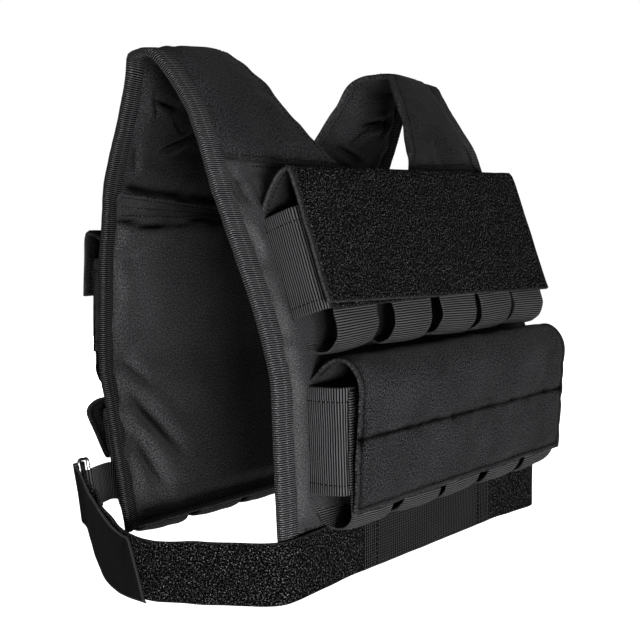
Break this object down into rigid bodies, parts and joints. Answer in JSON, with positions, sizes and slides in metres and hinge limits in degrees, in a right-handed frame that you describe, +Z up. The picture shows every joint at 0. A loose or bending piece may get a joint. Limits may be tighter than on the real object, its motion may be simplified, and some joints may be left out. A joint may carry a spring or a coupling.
{
  "type": "weighted vest",
  "caption": "Short weighted vest as worn: padded front and back, folded shoulder straps, webbing pouch rows under flaps, and a belt through side rings.",
  "frame": {"origin": "between the shoulders, level with the underside of the straps where the vest rests on them", "axes": "+Z up, the wearer faces -Y, +X towards the wearer's left and across the vest"},
  "size_m": [0.4546, 0.2893, 0.4125],
  "materials": {
    "cloth": "satin nylon",
    "webbing": "ribbed webbing",
    "pile": "matt loop pile",
    "ring": "bright"
  },
  "bodies": {
    "root": {"front_panel": "cloth", "back_panel": "cloth", "shoulder_strap_right": "cloth", "shoulder_strap_left": "cloth", "armhole_binding_right": "webbing", "armhole_binding_left": "webbing", "front_upper_band": "webbing", "front_upper_sling_1": "webbing", "front_upper_sling_2": "webbing", "front_upper_sling_3": "webbing", "front_upper_sling_4": "webbing", "front_upper_sling_5": "webbing", "front_upper_flap": "cloth", "front_upper_loop_tape": "pile", "front_upper_flap_facing": "pile", "front_lower_band": "webbing", "front_lower_sling_1": "webbing", "front_lower_sling_2": "webbing", "front_lower_sling_3": "webbing", "front_lower_sling_4": "webbing", "front_lower_sling_5": "webbing", "front_lower_flap": "cloth", "back_upper_band": "webbing", "back_upper_sling_1": "webbing", "back_upper_sling_2": "webbing", "back_upper_sling_3": "webbing", "back_upper_sling_4": "webbing", "back_upper_sling_5": "webbing", "back_upper_flap": "cloth", "back_upper_loop_tape": "pile", "back_upper_flap_facing": "pile", "back_lower_band": "webbing", "back_lower_sling_1": "webbing", "back_lower_sling_2": "webbing", "back_lower_sling_3": "webbing", "back_lower_sling_4": "webbing", "back_lower_sling_5": "webbing", "back_lower_flap": "cloth", "belt_front": "webbing", "belt_side_right": "pile", "belt_tab_right": "webbing", "belt_ring_right": "ring", "belt_side_left": "pile", "belt_tab_left": "webbing", "belt_ring_left": "ring"}
  },
  "joints": []
}
